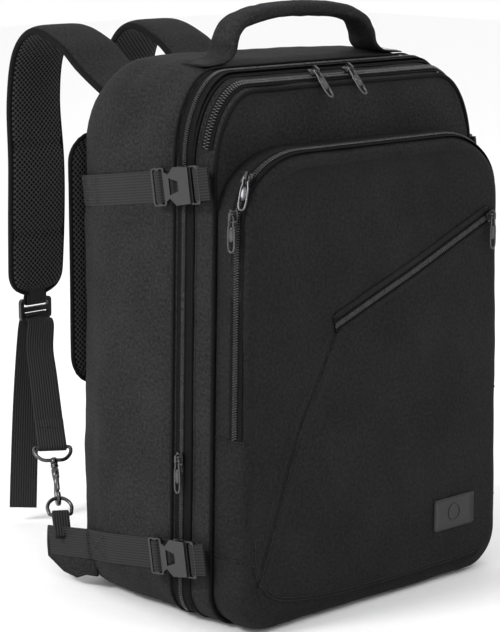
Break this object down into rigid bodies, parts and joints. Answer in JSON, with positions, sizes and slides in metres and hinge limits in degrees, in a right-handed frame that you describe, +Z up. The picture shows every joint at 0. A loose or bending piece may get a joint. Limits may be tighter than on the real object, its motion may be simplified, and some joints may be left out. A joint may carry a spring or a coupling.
{
  "type": "travel_backpack",
  "caption": "Carry-on travel backpack with expansion zip, front organiser, zipped front pocket, compression straps, padded shoulder straps on swivel hooks, and a top handle",
  "frame": {"origin": "In the flat base, under the middle of the main compartment", "axes": "+Z up; -Y the front face with the pocket; +Y the side worn on the back; +X the wearer's right-hand side"},
  "size_m": [0.3986, 0.4838, 0.586],
  "materials": {
    "shell_cloth": "matte polyester, fine plain weave, foam backed",
    "face_cloth": "matte polyester, fine plain weave",
    "lining_cloth": "smooth lining cloth",
    "air_mesh": "three-dimensional air mesh over foam",
    "webbing": "ribbed polyester webbing",
    "sleeve_foam": "padded sleeve, brushed lining",
    "buckle_plastic": "moulded acetal, fine spark texture",
    "coil_plastic": "polyester coil, semi-gloss",
    "stiffener_plastic": "extruded polyethylene sheet",
    "patch_rubber": "soft moulded patch, matte",
    "gunmetal": "cast zinc, black nickel plating"
  },
  "bodies": {
    "main_body": {"main_shell": "shell_cloth", "back_stiffener": "stiffener_plastic", "laptop_sleeve": "sleeve_foam", "back_pad_left": "air_mesh", "back_pad_right": "air_mesh", "lumbar_pad": "air_mesh", "top_handle": "shell_cloth", "shoulder_pad_left": "air_mesh", "shoulder_pad_right": "air_mesh", "ladder_lock_left": "buckle_plastic", "ladder_lock_right": "buckle_plastic", "strap_webbing_left": "webbing", "strap_webbing_right": "webbing", "hook_eye_left": "gunmetal", "hook_eye_right": "gunmetal", "anchor_tab_left": "webbing", "anchor_tab_right": "webbing", "strap_rear_upper_left": "webbing", "strap_rear_upper_right": "webbing", "strap_rear_lower_left": "webbing", "strap_rear_lower_right": "webbing", "main_zip_coil": "coil_plastic"},
    "front_section": {"front_shell": "shell_cloth", "divider_panel": "lining_cloth", "expansion_gusset": "lining_cloth", "pocket_shell": "face_cloth", "patch": "patch_rubber", "top_zip_coil": "coil_plastic", "pocket_zip_coil": "coil_plastic", "diagonal_zip_coil": "coil_plastic", "buckle_female_upper_left": "buckle_plastic", "buckle_female_upper_right": "buckle_plastic", "buckle_female_lower_left": "buckle_plastic", "buckle_female_lower_right": "buckle_plastic", "strap_front_upper_left": "webbing", "strap_front_upper_right": "webbing", "strap_front_lower_left": "webbing", "strap_front_lower_right": "webbing"},
    "male_upper_left": {"buckle_male_upper_left": "buckle_plastic"},
    "male_upper_right": {"buckle_male_upper_right": "buckle_plastic"},
    "male_lower_left": {"buckle_male_lower_left": "buckle_plastic"},
    "male_lower_right": {"buckle_male_lower_right": "buckle_plastic"},
    "hook_left": {"snap_hook_left": "gunmetal"},
    "hook_right": {"snap_hook_right": "gunmetal"},
    "trigger_left": {"hook_trigger_left": "gunmetal"},
    "trigger_right": {"hook_trigger_right": "gunmetal"},
    "ring_left": {"anchor_ring_left": "gunmetal"},
    "ring_right": {"anchor_ring_right": "gunmetal"},
    "main_slider": {"main_zip_slider": "gunmetal"},
    "main_pull": {"main_zip_pull": "gunmetal"},
    "top_left_slider_body": {"top_left_slider": "gunmetal"},
    "top_left_pull_body": {"top_left_pull": "gunmetal"},
    "top_right_slider_body": {"top_right_slider": "gunmetal"},
    "top_right_pull_body": {"top_right_pull": "gunmetal"},
    "pocket_lower_slider_body": {"pocket_lower_slider": "gunmetal"},
    "pocket_lower_pull_body": {"pocket_lower_pull": "gunmetal"},
    "pocket_upper_slider_body": {"pocket_upper_slider": "gunmetal"},
    "pocket_upper_pull_body": {"pocket_upper_pull": "gunmetal"},
    "diagonal_slider_body": {"diagonal_slider": "gunmetal"},
    "diagonal_pull_body": {"diagonal_pull": "gunmetal"}
  },
  "joints": [
    {"name": "front_expand", "type": "slide", "parent": "main_body", "child": "front_section", "axis": [0, -1, 0], "range_m": [0, 0.036]},
    {"name": "upper_left_release", "type": "slide", "parent": "front_section", "child": "male_upper_left", "axis": [0, 0.9903, -0.1392], "range_m": [0, 0.03]},
    {"name": "upper_right_release", "type": "slide", "parent": "front_section", "child": "male_upper_right", "axis": [0, 0.9903, -0.1392], "range_m": [0, 0.03]},
    {"name": "lower_left_release", "type": "slide", "parent": "front_section", "child": "male_lower_left", "axis": [0, 0.9903, -0.1392], "range_m": [0, 0.03]},
    {"name": "lower_right_release", "type": "slide", "parent": "front_section", "child": "male_lower_right", "axis": [0, 0.9903, -0.1392], "range_m": [0, 0.03]},
    {"name": "hook_swivel_left", "type": "hinge", "parent": "main_body", "child": "hook_left", "pos_m": [-0.14283, 0.1605, 0.11906], "axis": [0.4048, 0.6559, 0.6372], "range_deg": [-15, 15]},
    {"name": "hook_swivel_right", "type": "hinge", "parent": "main_body", "child": "hook_right", "pos_m": [0.14283, 0.1605, 0.11906], "axis": [-0.4048, 0.6559, 0.6372], "range_deg": [-15, 15]},
    {"name": "trigger_press_left", "type": "hinge", "parent": "hook_left", "child": "trigger_left", "pos_m": [-0.16027, 0.13208, 0.0985], "axis": [0.8565, -0.516, -0.0129], "range_deg": [0, 18], "stiffness_Nm_per_rad": 0.05, "springref_deg": -5.73},
    {"name": "trigger_press_right", "type": "hinge", "parent": "hook_right", "child": "trigger_right", "pos_m": [0.16027, 0.13208, 0.0985], "axis": [0.8565, 0.516, 0.0129], "range_deg": [0, 18], "stiffness_Nm_per_rad": 0.05, "springref_deg": -5.73},
    {"name": "ring_swing_left", "type": "hinge", "parent": "main_body", "child": "ring_left", "pos_m": [-0.17724, 0.10475, 0.0649], "axis": [0.8565, -0.516, -0.0129], "range_deg": [-3, 3]},
    {"name": "ring_swing_right", "type": "hinge", "parent": "main_body", "child": "ring_right", "pos_m": [0.17724, 0.10475, 0.0649], "axis": [0.8565, 0.516, 0.0129], "range_deg": [-3, 3]},
    {"name": "main_zip_travel", "type": "slide", "parent": "main_body", "child": "main_slider", "axis": [0.0196, 0, 0.9998], "range_m": [-0.035, 0.2]},
    {"name": "main_pull_swing", "type": "hinge", "parent": "main_slider", "child": "main_pull", "pos_m": [-0.18883, -0.09, 0.162], "axis": [0, 1, 0], "range_deg": [0, 150]},
    {"name": "top_left_travel", "type": "slide", "parent": "front_section", "child": "top_left_slider_body", "axis": [-1, 0, 0], "range_m": [0, 0.07]},
    {"name": "top_left_pull_swing", "type": "hinge", "parent": "top_left_slider_body", "child": "top_left_pull_body", "pos_m": [-0.038, -0.12173, 0.52484], "axis": [-1, 0, 0], "range_deg": [0, 130]},
    {"name": "top_right_travel", "type": "slide", "parent": "front_section", "child": "top_right_slider_body", "axis": [1, 0, 0], "range_m": [0, 0.1]},
    {"name": "top_right_pull_swing", "type": "hinge", "parent": "top_right_slider_body", "child": "top_right_pull_body", "pos_m": [0.008, -0.12173, 0.52484], "axis": [-1, 0, 0], "range_deg": [0, 130]},
    {"name": "pocket_lower_travel", "type": "slide", "parent": "front_section", "child": "pocket_lower_slider_body", "axis": [-0.0196, 0, -0.9998], "range_m": [0, 0.185]},
    {"name": "pocket_lower_pull_swing", "type": "hinge", "parent": "pocket_lower_slider_body", "child": "pocket_lower_pull_body", "pos_m": [-0.18381, -0.16067, 0.402], "axis": [-0.1387, 0.9903, 0], "range_deg": [0, 150]},
    {"name": "pocket_upper_travel", "type": "hinge", "parent": "front_section", "child": "pocket_upper_slider_body", "pos_m": [-0.10779, -0.16, 0.38294], "axis": [0, 1, 0], "range_deg": [0, 34]},
    {"name": "pocket_upper_pull_swing", "type": "hinge", "parent": "pocket_upper_slider_body", "child": "pocket_upper_pull_body", "pos_m": [-0.16548, -0.1617, 0.43762], "axis": [-0.4632, 0.8862, 0], "range_deg": [0, 140]},
    {"name": "diagonal_travel", "type": "slide", "parent": "front_section", "child": "diagonal_slider_body", "axis": [-0.9198, 0, -0.3924], "range_m": [0, 0.2]},
    {"name": "diagonal_pull_swing", "type": "hinge", "parent": "diagonal_slider_body", "child": "diagonal_pull_body", "pos_m": [0.156, -0.1806, 0.3703], "axis": [-1, 0, 0], "range_deg": [0, 150]}
  ]
}
